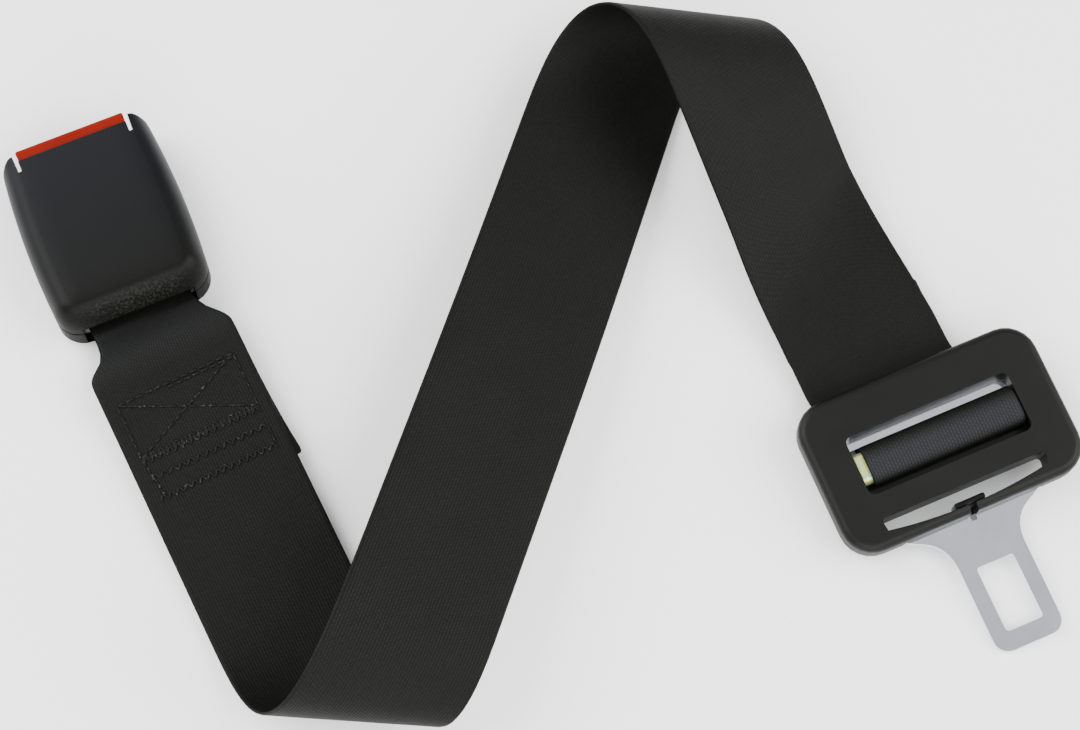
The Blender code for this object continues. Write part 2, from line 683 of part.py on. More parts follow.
def settled_strap(start, entry):
    """Ease the last run of the strap until the tongue's lowest corner lies on the ground."""
    turn = tongue_turn(0)
    down = -Vector((turn[2][0], turn[2][1], 0)).normalized()
    cover_corner = Vector((COVER_CORNER_RADIUS - COVER_LENGTH / 2, COVER_CORNER_RADIUS - COVER_WIDTH / 2, 0))
    tip_corner = Vector((TIP_CORNER_RADIUS - STEM_HALF_WIDTH, TIP_Y + TIP_CORNER_RADIUS, PLATE_UNDERSIDE))
    feet = [cover_corner + down * (COVER_CORNER_RADIUS - COVER_EDGE_ROUND), tip_corner + down * TIP_CORNER_RADIUS]
    end_height = max((turn @ (entry - foot)).z for foot in feet)
    angle = EASE_ANGLE
    for attempt in range(6):
        heights = []
        for trial in (angle, angle + 0.01):
            last = fold_strip(start, trial)[-1][3]
            heights.append((last @ Vector((STRAP_LENGTH, 0, 0))).z)
        rate = (heights[1] - heights[0]) / 0.01
        angle += (end_height - heights[0]) / rate
    return fold_strip(start, angle)


def edges_at(place):
    """The webbing is gathered where it passes the buckle, and one edge flares later than the other."""
    edges = []
    for side, lag in ((-1, NECK_LAG), (1, 0)):
        share = smooth_share((place - lag) / (NECK_FLARE_LENGTH - lag))
        edges.append(side * (NECK_WIDTH + (WEB_WIDTH - NECK_WIDTH) * share) / 2)
    return edges


def smooth_share(value):
    share = min(max(value, 0), 1)
    return share * share * (3 - 2 * share)


def strip_sections(folded, entry_frame):
    """The folded strip, with its last stretch settled onto the tongue's plane."""
    sections = []
    for place, slope, before, after in folded:
        ends = []
        for side in edges_at(place):
            along = place + slope * side
            settle = smooth_share((along - STRAP_LENGTH + SETTLE_LENGTH) / SETTLE_LENGTH)
            folded_point = after @ Vector((along, side, 0))
            ends.append(folded_point.lerp(entry_frame @ Vector((along - STRAP_LENGTH, side, 0)), settle))
        normal = (before.to_3x3().col[2] + after.to_3x3().col[2]).normalized()
        settle = smooth_share((place - STRAP_LENGTH + SETTLE_LENGTH) / SETTLE_LENGTH)
        sections.append((ends[0], ends[1], normal.lerp(entry_frame.to_3x3().col[2], settle)))
    return sections


def neck_places():
    """Extra lines across the flare, where the folded strip has none."""
    return [NECK_FLARE_LENGTH * step / 6 for step in range(1, 7)]


def flat_sections(start, places):
    sections = []
    normal = start.to_3x3().col[2]
    for place in places:
        low_edge, high_edge = edges_at(place)
        sections.append((start @ Vector((place, low_edge, 0)), start @ Vector((place, high_edge, 0)), normal))
    return sections


def profile_sections(frame, path, half_at, shift_at):
    """Sections across a path drawn in a piece's own Y and Z."""
    sections = []
    for index, (y, z) in enumerate(path):
        before = path[max(index - 1, 0)]
        after = path[min(index + 1, len(path) - 1)]
        along = Vector((0, after[0] - before[0], after[1] - before[1])).normalized()
        normal = frame.to_3x3() @ Vector((0, along.z, -along.y))
        shift = shift_at(y)
        half = half_at(y)
        sections.append((frame @ Vector((shift - half, y, z)), frame @ Vector((shift + half, y, z)), normal))
    return sections


def anchor_path():
    """From under the anchor bar, round its front edge, and out to the strap's start."""
    middle_z = FRAME_UNDERSIDE + FRAME_PLATE / 2
    path = [(ANCHOR_BAR_BACK, middle_z - anchor_bend)]
    path += arc((anchor_slot_back, middle_z), anchor_bend, -90, 90, 8)
    start_y, start_z = ANCHOR_BAR_BACK, middle_z + anchor_bend
    path.append((start_y, start_z))
    end_y, end_z = STRAP_START[1], STRAP_START[2]
    for step in range(1, 5):
        share = step / 5
        path.append((start_y + (end_y - start_y) * share, start_z + (end_z - start_z) * smooth_share(share)))
    return path


def anchor_shift(y):
    """The webbing leaves the anchor bar slightly to one side."""
    share = (y - ANCHOR_BAR_BACK) / (STRAP_START[1] - ANCHOR_BAR_BACK)
    return STRAP_START[0] * max(share, 0)


def under_layer_sections(start):
    """The sewn end under the strap, from its cut end back to the buckle."""
    sections = []
    normal = start.to_3x3().col[2]
    drop = normal * layer_pitch
    places = [UNDER_LAYER_LENGTH - 0.012, UNDER_LAYER_LENGTH - 0.024] + list(reversed(neck_places()))
    for place in [UNDER_LAYER_LENGTH] + places:
        low_edge, high_edge = edges_at(place)
        shift = UNDER_LAYER_SHIFT * (place / UNDER_LAYER_LENGTH) ** 4
        right = start @ Vector((place, low_edge + shift, 0)) - drop
        left = start @ Vector((place, high_edge + shift, 0)) - drop
        sections.append((right, left, -normal))
    return sections


def tongue_path():
    """Under the crossbar, up the slot, over the lock bar, back under it, and out as the tail."""
    flat = LOCK_BAR_WIDTH / 2 - LOCK_BAR_HEIGHT / 2
    front = LOCK_BAR_CENTRE_Y + flat
    back = LOCK_BAR_CENTRE_Y - flat
    rise_y = front + roll_radius
    load_z = -GAP - WEB_THICKNESS / 2
    low = (rise_y + WEB_TURN, load_z + WEB_TURN)
    path = arc(low, WEB_TURN, 270, 180, 4)
    path += arc((front, lock_bar_z), roll_radius, 0, 90, 8)
    path += arc((back, lock_bar_z), roll_radius, 90, 270, 12)
    under_z = lock_bar_z - roll_radius
    fall_y = rise_y - layer_pitch
    turn = (fall_y - WEB_TURN, under_z - WEB_TURN)
    path += arc(turn, WEB_TURN, 90, 0, 4)
    path += arc(low, WEB_TURN + layer_pitch, 180, 270, 5)
    tail_z = load_z - layer_pitch
    for step in range(1, 6):
        share = step / 5
        path.append((low[0] + TAIL_DROOP_LENGTH * share, tail_z - TAIL_DROOP * smooth_share(share)))
    tail_z -= TAIL_DROOP
    tail_end = low[0] + TAIL_LENGTH
    hem = layer_pitch / 2
    path += arc((tail_end, tail_z - hem), hem, 90, -90, 5)
    path.append((tail_end - HEM_LENGTH, tail_z - 2 * hem))
    return low, load_z, tail_end, tail_z - 2 * hem, path


def entry_path(low, load_z):
    """The run under the crossbar where the strap moves over to the middle of the lock bar."""
    path = []
    for step in range(6):
        path.append((low[0] + ENTRY_LENGTH * (1 - step / 6), load_z))
    return path


def entry_shift(low_y):
    def shift_at(y):
        return ROLL_SHIFT + (ENTRY_SHIFT - ROLL_SHIFT) * smooth_share((y - low_y) / ENTRY_LENGTH)
    return shift_at


def roll_half_width(low_y):
    """The webbing spreads a little where it turns round the lock bar."""
    def half_at(y):
        return (ROLL_WIDTH + (WEB_WIDTH - ROLL_WIDTH) * smooth_share((y - low_y) / ENTRY_LENGTH)) / 2
    return half_at


def tongue_frame_at(strap, entry):
    """The tongue lies where the strap's end meets the start of the run under its crossbar."""
    last = strap[-1][3]
    end = last @ Vector((STRAP_LENGTH, 0, 0))
    along = last.to_3x3().col[0]
    heading = math.atan2(along.y, along.x) + math.pi / 2 + TONGUE_SKEW
    return Matrix.Translation(end) @ tongue_turn(heading) @ Matrix.Translation(-entry)


def make_webbing(material, start, strap, tongue_frame, entry, tongue_parts, buckle_frame):
    low, load_z, path = tongue_parts
    turn = Matrix.Rotation(-math.pi / 2 - TONGUE_SKEW, 4, "Z")
    entry_frame = tongue_frame @ Matrix.Translation(entry) @ turn
    sections = under_layer_sections(start)
    sections += profile_sections(buckle_frame, anchor_path(), lambda y: NECK_WIDTH / 2, anchor_shift)
    folded = strip_sections(strap, entry_frame)
    sections += folded[:1] + flat_sections(start, neck_places()) + folded[1:]
    sections += profile_sections(tongue_frame, entry_path(low, load_z) + path, roll_half_width(low[0]),
                                 entry_shift(low[0]))
    rings = [section(*item) for item in sections]
    webbing = make_object("webbing", loft(rings), material)
    smooth(webbing, 50)
    return webbing


# Stitching

def thread_bar(name, first, second, parent, width=THREAD_WIDTH, lift=0.0):
    run = Vector((second[0] - first[0], second[1] - first[1], 0))
    mesh_data = bmesh.new()
    low = WEB_THICKNESS / 2 + GAP + lift
    add_box(mesh_data, (-run.length / 2 - width / 2, -width / 2, low),
            (run.length / 2 + width / 2, width / 2, low + THREAD_HEIGHT - lift / 2))
    turn = Matrix.Rotation(math.atan2(run.y, run.x), 4, "Z")
    middle = Vector(((first[0] + second[0]) / 2, (first[1] + second[1]) / 2, 0))
    bmesh.ops.transform(mesh_data, matrix=Matrix.Translation(middle) @ turn, verts=mesh_data.verts)
    return make_object(name, mesh_data, parent=parent)


def zigzag_mesh(start, end, place, count, swing, bottom, top):
    """A zigzag row of stitches across the strap, as one flat ribbon."""
    front = []
    back = []
    for step in range(2 * count + 1):
        across = start + (end - start) * step / (2 * count)
        along = place + (swing / 2 if step % 2 else -swing / 2)
        front.append((along + THREAD_WIDTH / 2, across))
        back.append((along - THREAD_WIDTH / 2, across))
    return prism(front + list(reversed(back)), bottom, top)


def make_box_stitching(start, material):
    parent = make_empty("stitch_frame", start)
    near = STITCH_START
    far = near + STITCH_BOX_LENGTH
    half = STITCH_BOX_WIDTH / 2
    bottom = WEB_THICKNESS / 2 + GAP
    top = bottom + THREAD_HEIGHT
    first = zigzag_mesh(-half, half, far, ZIGZAG_COUNT, ZIGZAG_SWING, bottom, top)
    net = make_object("box_stitching", first, material, parent)
    bars = [((near, -half), (near, half)), ((near, -half), (far, -half)), ((near, half), (far, half)),
            ((near, -half), (far, half)), ((near, half), (far, -half))]
    reach = far + 2 * STITCH_PITCH
    bars += [((far, half), (reach, half))]
    for index, (one, two) in enumerate(bars):
        join(net, thread_bar(f"stitch_bar_{index}_tool", one, two, parent, lift=0.00001 * (index + 1)))
    for row in (1, 2):
        place = far + row * STITCH_PITCH
        mesh_data = zigzag_mesh(-half, half, place, ZIGZAG_COUNT, ZIGZAG_SWING,
                                bottom + 0.00005 * row, top - 0.00005 * row)
        join(net, make_object(f"stitch_row_{row}_tool", mesh_data, parent=parent))
    return net


def make_tail_stitching(tongue_frame, tail_end, hem_z, material):
    """The zigzag row under the tail that holds its folded end."""
    parent = make_empty("tail_stitch_frame", tongue_frame)
    top = hem_z - WEB_THICKNESS / 2 - GAP
    half = WEB_WIDTH / 2 - TAIL_STITCH_MARGIN
    place = tail_end - HEM_LENGTH / 2
    ribbon = zigzag_mesh(-half - ENTRY_SHIFT, half - ENTRY_SHIFT, place, ZIGZAG_COUNT, ZIGZAG_SWING,
                         top - THREAD_HEIGHT, top)
    bmesh.ops.transform(ribbon, matrix=Matrix.Rotation(math.pi / 2, 4, "Z"), verts=ribbon.verts)
    return make_object("tail_stitching", ribbon, material, parent)


# Tongue

def curve_points(start, control, end, steps):
    points = []
    for step in range(1, steps + 1):
        share = step / steps
        a, b, c = (1 - share) ** 2, 2 * share * (1 - share), share ** 2
        points.append((a * start[0] + b * control[0] + c * end[0], a * start[1] + b * control[1] + c * end[1]))
    return points


def plate_outline(grow):
    """Outline of the steel plate, anticlockwise, made larger by grow for its pocket."""
    half_x = COVER_LENGTH / 2 - PLATE_EDGE_COVER + grow
    top_y = COVER_WIDTH / 2 - PLATE_EDGE_COVER + grow
    radius = COVER_CORNER_RADIUS - PLATE_EDGE_COVER + grow
    low_y = LENS_LOW_Y - 0.0008 - grow
    shoulder = (SHOULDER_HALF_WIDTH + grow, SHOULDER_Y - grow)
    stem = (STEM_HALF_WIDTH + grow, STEM_START_Y)
    tip_y = TIP_Y - grow
    right = arc((STEM_HALF_WIDTH + grow - TIP_CORNER_RADIUS, tip_y + TIP_CORNER_RADIUS),
                TIP_CORNER_RADIUS, -90, 0, 5)
    right.append(stem)
    right += curve_points(stem, (STEM_HALF_WIDTH + grow, SHOULDER_Y - 0.0032), shoulder, 6)
    right.append((shoulder[0] + 0.006, low_y))
    right += arc((half_x - radius, low_y + radius), radius, -90, 0, 4)[1:]
    right += arc((half_x - radius, top_y - radius), radius, 0, 90, 4)
    left = [(-x, y) for x, y in reversed(right)]
    return right + left


def lens_outline(grow):
    """The lower slot: a straight top edge, and a lower edge that bows down to the middle."""
    half = LENS_HALF_LENGTH + grow
    top_y = LENS_TOP_Y + grow
    end_y = LENS_END_Y - grow
    low_y = LENS_LOW_Y - grow
    points = arc((half - LENS_CORNER, top_y - LENS_CORNER), LENS_CORNER, 0, 90, 3)
    points += arc((LENS_CORNER - half, top_y - LENS_CORNER), LENS_CORNER, 90, 180, 3)
    for step in range(15):
        share = -1 + 2 * step / 14
        points.append((half * share * 0.985, low_y + (end_y - low_y) * share * share))
    return points


def slot_ring(height, low_y=None):
    """The main slot's outline at a height. Its long walls lean in towards the underside."""
    lean = SLOT_DRAFT * (COVER_HEIGHT - height)
    if low_y is None:
        low_y = SLOT_CENTRE_Y - SLOT_WIDTH / 2 + lean
    outline = rounded_rectangle((-SLOT_LENGTH / 2, low_y),
                                (SLOT_LENGTH / 2, SLOT_CENTRE_Y + SLOT_WIDTH / 2 - lean), 0.0022, 4)
    return [(x, y, height) for x, y in outline]


def plate_slot_outline(grow):
    half = SLOT_LENGTH / 2 - SIDE_LEDGE - grow
    return rounded_rectangle((-half, lip_y - LIP_COVER + grow),
                             (half, LOCK_BAR_CENTRE_Y + roll_reach - grow), 0.0006, 3)


def cut_plate_holes(plate, name, grow, parent):
    low = PLATE_UNDERSIDE - 0.002
    high = plate_top + 0.002
    cut(plate, make_object(f"{name}_slot_tool", prism(plate_slot_outline(grow), low, high), parent=parent))
    cut(plate, make_object(f"{name}_lens_tool", prism(lens_outline(LENS_WALL - grow), low, high), parent=parent))


def make_tongue_plate(parent, material):
    plate = make_object("tongue_plate", prism(plate_outline(0), PLATE_UNDERSIDE, plate_top), material, parent)
    cut_plate_holes(plate, "plate", 0, parent)
    half = WINDOW_WIDTH / 2
    window = rounded_rectangle((-half, WINDOW_CENTRE_Y - WINDOW_LENGTH / 2),
                               (half, WINDOW_CENTRE_Y + WINDOW_LENGTH / 2), 0.0010, 2)
    cut(plate, make_object("window_tool", prism(window, -0.001, COVER_HEIGHT), parent=parent))
    cut(plate, box_tool("notch_tool", (-NOTCH_WIDTH / 2, -COVER_WIDTH / 2 - NOTCH_REACH, -0.001),
                        (NOTCH_WIDTH / 2, LENS_LOW_Y, COVER_HEIGHT), parent))
    return plate


def make_tongue_cover(parent, material):
    low = (-COVER_LENGTH / 2, -COVER_WIDTH / 2)
    high = (COVER_LENGTH / 2, COVER_WIDTH / 2)
    mesh_data = prism(rounded_rectangle(low, high, COVER_CORNER_RADIUS, 6), 0, COVER_HEIGHT)
    rim = [edge for edge in mesh_data.edges if abs(edge.verts[0].co.z - edge.verts[1].co.z) < FINE]
    bmesh.ops.bevel(mesh_data, geom=rim, offset=COVER_EDGE_ROUND, segments=4, affect="EDGES",
                    profile=0.5, material=-1)
    cover = make_object("tongue_cover", mesh_data, material, parent)
    slot = loft([slot_ring(lip_top), slot_ring(COVER_HEIGHT + 0.001)])
    cut(cover, make_object("cover_slot_tool", slot, parent=parent))
    opening = loft([slot_ring(shelf_top, lip_y), slot_ring(lip_top + FINE, lip_y)])
    cut(cover, make_object("cover_opening_tool", opening, parent=parent))
    below = loft([slot_ring(-0.001, SHELF_Y), slot_ring(shelf_top + FINE, SHELF_Y)])
    cut(cover, make_object("cover_shelf_tool", below, parent=parent))
    lens = prism(lens_outline(0), -0.001, COVER_HEIGHT + 0.001)
    cut(cover, make_object("cover_lens_tool", lens, parent=parent))
    pocket = make_object("pocket_tool", prism(plate_outline(GAP), PLATE_UNDERSIDE - GAP, plate_top + GAP),
                         parent=parent)
    cut_plate_holes(pocket, "pocket", GAP, parent)
    cut(cover, pocket)
    cut(cover, box_tool("arm_gap_tool", (-ARM_GAP / 2, -COVER_WIDTH / 2 - 0.001, plate_top + GAP / 2),
                        (ARM_GAP / 2, LENS_LOW_Y + COLLAR_WIDTH, COVER_HEIGHT + 0.001), parent))
    smooth(cover)
    return cover


def make_collar(parent, material):
    """The dark clip that spans the two arm ends on the slot's side."""
    mesh_data = bmesh.new()
    low_y = LENS_LOW_Y + GAP
    add_box(mesh_data, (-COLLAR_HALF_LENGTH, low_y, 0.0014),
            (COLLAR_HALF_LENGTH, low_y + COLLAR_WIDTH, COVER_HEIGHT - 0.0012))
    bmesh.ops.bevel(mesh_data, geom=mesh_data.edges[:], offset=0.0005, segments=2, affect="EDGES",
                    profile=0.5, material=-1)
    collar = make_object("arm_collar", mesh_data, material, parent)
    smooth(collar)
    return collar


def make_lock_bar(parent, material):
    """A flat bar with round edges that lies across the slot, on the plate's side ledges."""
    half_length_bar = SLOT_LENGTH / 2 - LOCK_BAR_END_GAP
    radius = LOCK_BAR_HEIGHT / 2
    flat = LOCK_BAR_WIDTH / 2 - radius
    outline = arc((flat, 0), radius, -90, 90, 8) + arc((-flat, 0), radius, 90, 270, 8)
    mesh_data = prism(outline, -half_length_bar, half_length_bar)
    turn = Matrix(((0, 0, 1, 0), (1, 0, 0, LOCK_BAR_CENTRE_Y), (0, 1, 0, lock_bar_z), (0, 0, 0, 1)))
    bmesh.ops.transform(mesh_data, matrix=turn, verts=mesh_data.verts)
    bmesh.ops.recalc_face_normals(mesh_data, faces=mesh_data.faces)
    bar = make_object("lock_bar", mesh_data, material, parent)
    smooth(bar)
    return bar


def build():
    clear_scene()
    black_shell = make_material("shell_plastic", (0.016, 0.017, 0.021), 0.42, 0.0)
    red = make_material("button_plastic", (0.62, 0.045, 0.006), 0.4, 0.0)
    steel = make_material("frame_steel", (0.55, 0.56, 0.58), 0.38, 1.0)
    chrome = make_material("plate_chrome", (0.74, 0.75, 0.80), 0.16, 1.0)
    zinc = make_material("bar_zinc", (0.68, 0.66, 0.30), 0.35, 1.0)
    white = make_material("mechanism_plastic", (0.72, 0.72, 0.70), 0.5, 0.0)
    spring_steel = make_material("spring_steel", (0.50, 0.50, 0.52), 0.3, 1.0)
    cloth = make_material("webbing_polyester", (0.013, 0.014, 0.013), 0.8, 0.0)
    thread = make_material("thread_polyester", (0.007, 0.007, 0.008), 0.75, 0.0)
    moulding = make_material("tongue_plastic", (0.020, 0.020, 0.019), 0.5, 0.0)
    collar_plastic = make_material("collar_plastic", (0.008, 0.008, 0.008), 0.35, 0.0)

    buckle_frame = Matrix.Translation(BUCKLE_PLACE) @ Matrix.Rotation(BUCKLE_TURN, 4, "Z")
    buckle = make_empty("buckle_frame", buckle_frame)
    make_front_cover(buckle, black_shell)
    make_rear_cover(buckle, black_shell)
    make_base_frame(buckle, steel)
    make_latch(buckle, steel)
    make_cross_pin("latch_pin", LATCH_PIN_RADIUS, (0, LATCH_PIN_Y, latch_pin_z),
                   2 * FRAME_HALF_WIDTH + 0.001, steel, buckle)
    make_lock_slider(buckle, white)
    make_cross_pin("lock_pin", LOCK_PIN_RADIUS, (0, LOCK_PIN_Y, lock_pin_z),
                   2 * FRAME_HALF_WIDTH + GAP, steel, buckle)
    make_ejector(buckle, white)
    make_button(buckle, red)
    spring_z = slider_bottom - SPRING_RADIUS - SPRING_WIRE - 2 * GAP
    for side, label in ((-1, "left"), (1, "right")):
        make_spring(f"button_spring_{label}", (side * spring_x, SPRING_SEAT_Y, spring_z),
                    BUTTON_LEG_END - GAP, 7, buckle, spring_steel)
    lock_spring_z = latch_pin_z + LATCH_BARREL_RADIUS + GAP + SPRING_RADIUS + SPRING_WIRE
    make_spring("lock_spring", (0, FRAME_WALL_BACK + 0.0015 + GAP, lock_spring_z), slider_back - GAP, 6,
                buckle, spring_steel)
    ejector_spring_z = frame_top + GAP + SPRING_RADIUS + SPRING_WIRE
    make_spring("ejector_spring", (0, FRAME_WALL_BACK + 0.0013 + GAP, ejector_spring_z), -GAP, 7,
                buckle, spring_steel)

    start = strap_start_frame(buckle_frame)
    low, load_z, tail_end, hem_z, path = tongue_path()
    entry = Vector((ENTRY_SHIFT, low[0] + ENTRY_LENGTH + ENTRY_LEAD, load_z))
    strap = settled_strap(start, entry)
    tongue_frame = tongue_frame_at(strap, entry)
    make_webbing(cloth, start, strap, tongue_frame, entry, (low, load_z, path), buckle_frame)
    make_box_stitching(start, thread)
    make_tail_stitching(tongue_frame, tail_end, hem_z, thread)

    tongue = make_empty("tongue_frame", tongue_frame)
    make_tongue_plate(tongue, chrome)
    make_tongue_cover(tongue, moulding)
    make_collar(tongue, collar_plastic)
    make_lock_bar(tongue, zinc)


build()
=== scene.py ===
import math

import bmesh
import bpy
from mathutils import Matrix, Vector


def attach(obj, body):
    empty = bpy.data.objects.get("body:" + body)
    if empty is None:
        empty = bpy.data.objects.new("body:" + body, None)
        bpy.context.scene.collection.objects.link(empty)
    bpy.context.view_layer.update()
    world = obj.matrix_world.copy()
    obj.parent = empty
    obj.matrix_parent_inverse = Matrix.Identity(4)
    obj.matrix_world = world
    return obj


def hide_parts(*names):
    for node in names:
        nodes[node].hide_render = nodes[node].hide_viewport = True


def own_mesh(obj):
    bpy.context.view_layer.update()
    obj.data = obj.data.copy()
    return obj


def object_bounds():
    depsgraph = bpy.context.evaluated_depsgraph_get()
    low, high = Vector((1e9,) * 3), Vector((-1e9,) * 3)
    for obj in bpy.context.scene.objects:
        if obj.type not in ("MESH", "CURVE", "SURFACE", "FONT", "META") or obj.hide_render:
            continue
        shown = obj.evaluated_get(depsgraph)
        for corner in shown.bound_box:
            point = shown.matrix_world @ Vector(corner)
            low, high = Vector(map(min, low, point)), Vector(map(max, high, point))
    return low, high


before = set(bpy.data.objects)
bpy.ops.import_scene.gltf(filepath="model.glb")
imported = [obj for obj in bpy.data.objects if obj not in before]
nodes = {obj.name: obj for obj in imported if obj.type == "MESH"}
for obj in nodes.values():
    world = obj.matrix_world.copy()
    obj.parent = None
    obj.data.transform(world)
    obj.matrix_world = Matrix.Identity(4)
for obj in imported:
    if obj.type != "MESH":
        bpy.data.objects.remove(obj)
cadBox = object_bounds()
print("frame loaded:", len(nodes), "nodes")


# Shader maths as plain expressions
class Sock:
    def __init__(self, shader, socket):
        self.shader = shader
        self.socket = socket

    def calc(self, operation, other=0.0):
        node = self.shader.node("ShaderNodeMath", {"operation": operation}, {0: self, 1: other})
        return Sock(self.shader, node.outputs[0])

    def __add__(self, other):
        return self.calc("ADD", other)

    def __sub__(self, other):
        return self.calc("SUBTRACT", other)

    def __mul__(self, other):
        return self.calc("MULTIPLY", other)

    def __truediv__(self, other):
        return self.calc("DIVIDE", other)

    def __rsub__(self, other):
        return self.calc("MULTIPLY", -1.0) + other

    __radd__ = __add__


# One material, with a helper for every node it needs
class Finish:
    def __init__(self, name):
        self.material = bpy.data.materials.new(name)
        self.material.use_nodes = True
        self.tree = self.material.node_tree
        self.surface = self.tree.nodes["Principled BSDF"]

    def node(self, kind, settings=None, sockets=None):
        made = self.tree.nodes.new(kind)
        for key, value in (settings or {}).items():
            if key == "stops":
                ramp = made.color_ramp
                while len(ramp.elements) < len(value):
                    ramp.elements.new(0.5)
                for element, (place, colour) in zip(ramp.elements, value):
                    element.position = place
                    element.color = colour
            else:
                setattr(made, key, value)
        for key, value in (sockets or {}).items():
            self.feed(made.inputs[key], value)
        return made

    def feed(self, socket, value):
        if isinstance(value, Sock):
            self.tree.links.new(value.socket, socket)
        else:
            socket.default_value = value

    def out(self, kind, settings=None, sockets=None, output=0):
        return Sock(self, self.node(kind, settings, sockets).outputs[output])

    def split(self, vector):
        node = self.node("ShaderNodeSeparateXYZ", None, {0: vector})
        return [Sock(self, socket) for socket in node.outputs]

    def objectPlace(self):
        return self.out("ShaderNodeTexCoord", output="Object")

    def noise(self, place, scale, detail=2.0, roughness=0.5):
        return self.out("ShaderNodeTexNoise", None,
                        {"Vector": place, "Scale": scale, "Detail": detail, "Roughness": roughness})

    def ramp(self, value, low, high, start=0.0, end=1.0):
        return self.out("ShaderNodeMapRange", None, {0: value, 1: low, 2: high, 3: start, 4: end})

    def mixColour(self, share, first, second):
        node = self.node("ShaderNodeMix", {"data_type": "RGBA"}, {0: share, 6: first, 7: second})
        return Sock(self, node.outputs[2])

    def bump(self, height, strength, distance, normal=None):
        sockets = {"Height": height, "Strength": strength, "Distance": distance}
        if normal is not None:
            sockets["Normal"] = normal
        return self.out("ShaderNodeBump", None, sockets)

    def set(self, **values):
        names = {"colour": "Base Color", "roughness": "Roughness", "metallic": "Metallic",
                 "normal": "Normal", "specular": "Specular IOR Level"}
        for key, value in values.items():
            self.feed(self.surface.inputs[names[key]], value)
        return self.material


def rgb(red, green, blue):
    return (red, green, blue, 1.0)


# Strap: the same folds as the CAD webbing, lengths in metres and angles in degrees
strap = {
    "width": 0.048, "thickness": 0.0011, "neckWidth": 0.0335, "flare": 0.0125, "flareLag": 0.0040,
    "length": 0.5485, "underLength": 0.0600, "underShift": 0.0020, "layer": 0.0015,
    "start": (0.0010, -0.0337, 0.0082), "skew": 3.3, "slope": -2.5, "roll": 1.8,
    "bends": [(0.1528, 0.107, 183.6), (0.2977, 0.120, 4.4), (0.4163, 0.1113, -196.3)],
    "ease": (0.5120, 0.072, 17.9),
    "slants": [(0.0993, 50.5), (0.2063, -4.3), (0.2977, -1.0), (0.36065, 22.6), (0.47195, 25.9),
               (0.5120, -36.0), (0.5485, 0.0)],
    "steps": 26, "settle": 0.055, "columns": 26, "hump": 0.0018, "humpEnd": 0.034,
    "humpRows": [0.0165, 0.0205, 0.0245, 0.0285, 0.0325], "flareRows": 8, "underRows": 14,
    "buckle": (-0.13347, 0.04465, 0.0), "buckleTurn": 23.1,
    "anchorBack": -0.0285, "anchorFront": -0.0245, "anchorMiddle": 0.00495, "anchorBend": 0.00215,
}

# Where the webbing runs in the tongue, in the tongue's own frame
tongue = {
    "pitch": 4.7, "roll": 2.1, "skew": -4.1,
    "cover": (0.0794, 0.0496), "corner": 0.0100, "edge": 0.0026,
    "stem": 0.0111, "tip": -0.0668, "tipCorner": 0.0045, "plateUnderside": 0.0014,
    "entryShift": -0.0060, "entryLength": 0.020, "entryLead": 0.0082,
    "rollShift": 0.0014, "rollWidth": 0.0495, "rollSpread": 0.0009, "spreadFrom": 0.0048,
    "spreadOver": 0.0020,
    "barWidth": 0.0103, "barHeight": 0.0045, "barCentre": 0.0008, "barZ": 0.00615, "rollRadius": 0.00315,
    "bend": 0.0018, "loadZ": -0.0009, "droop": 0.0010, "droopLength": 0.026, "tail": 0.042, "hem": 0.011,
}


def easeShare(value):
    value = min(max(value, 0.0), 1.0)
    return value * value * (3 - 2 * value)


def slantAt(place):
    table = strap["slants"]
    for (start, first), (end, second) in zip(table, table[1:]):
        if place < end:
            share = max((place - start) / (end - start), 0.0)
            return math.radians(first + (second - first) * share)
    return 0.0


buckleFrame = (Matrix.Translation(strap["buckle"])
               @ Matrix.Rotation(math.radians(strap["buckleTurn"]), 4, "Z"))
startFrame = (buckleFrame @ Matrix.Translation(strap["start"])
              @ Matrix.Rotation(math.radians(strap["skew"] - 90), 4, "Z")
              @ Matrix.Rotation(math.radians(-strap["slope"]), 4, "Y")
              @ Matrix.Rotation(math.radians(strap["roll"]), 4, "X"))


# Fold lines of the flat band: place, slope of the line, and the frames before and after the fold
def foldStrip(easeAngle):
    centre, spread, _ = strap["ease"]
    lines = []
    for middle, length, angle in strap["bends"] + [(centre, spread, easeAngle)]:
        for step in range(strap["steps"]):
            share = (step + 0.5) / strap["steps"]
            turn = math.radians(angle) * (1 - math.cos(2 * math.pi * share)) / strap["steps"]
            lines.append((middle + length * (share - 0.5), turn))
    lines.sort()
    place = startFrame
    folded = [(0.0, 0.0, place, place)]
    for along, turn in lines:
        slant = slantAt(along)
        before = place
        pivot = Matrix.Translation((along, 0, 0))
        fold = Matrix.Rotation(-turn, 4, Vector((math.sin(slant), math.cos(slant), 0)))
        place = place @ pivot @ fold @ pivot.inverted()
        folded.append((along, math.tan(slant), before, place))
    folded.append((strap["length"], 0.0, place, place))
    return folded


def tongueTurn(heading):
    turn = Matrix.Rotation(heading, 4, "Z") @ Matrix.Rotation(math.radians(tongue["pitch"]), 4, "X")
    return turn @ Matrix.Rotation(math.radians(-tongue["roll"]), 4, "Y")


